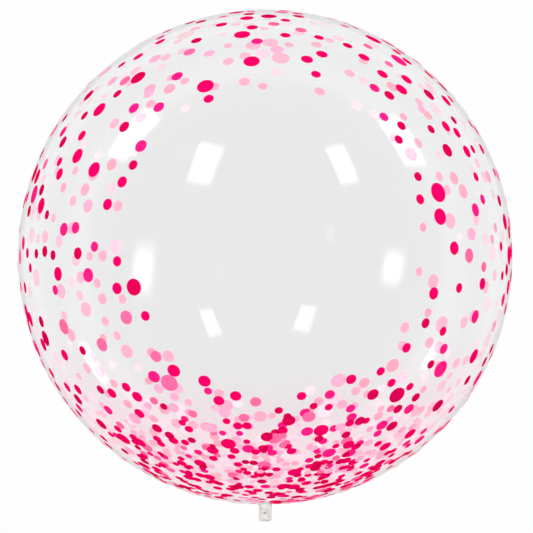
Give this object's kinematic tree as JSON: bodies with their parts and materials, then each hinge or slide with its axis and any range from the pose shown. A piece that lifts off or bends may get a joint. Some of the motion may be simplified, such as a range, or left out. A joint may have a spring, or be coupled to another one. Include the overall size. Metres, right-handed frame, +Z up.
{
  "type": "bubble balloon",
  "caption": "Clear round film balloon printed with scattered confetti dots, with a short filling neck and a self-sealing valve, lying on its back.",
  "frame": {"origin": "middle of the small flat spot under the ball that it lies on", "axes": "+Z up, out through the front clear window of the print; -Y along the neck, out of its mouth; +X to the right seen from above with the neck towards the viewer"},
  "size_m": [0.61, 0.632, 0.6079],
  "materials": {
    "clear_film": "gloss",
    "valve_film": "satin",
    "hot_pink_ink": "gloss",
    "crimson_ink": "gloss",
    "mid_pink_ink": "gloss",
    "pale_pink_ink": "gloss"
  },
  "bodies": {
    "root": {"bubble": "clear_film", "valve": "valve_film"}
  },
  "joints": []
}
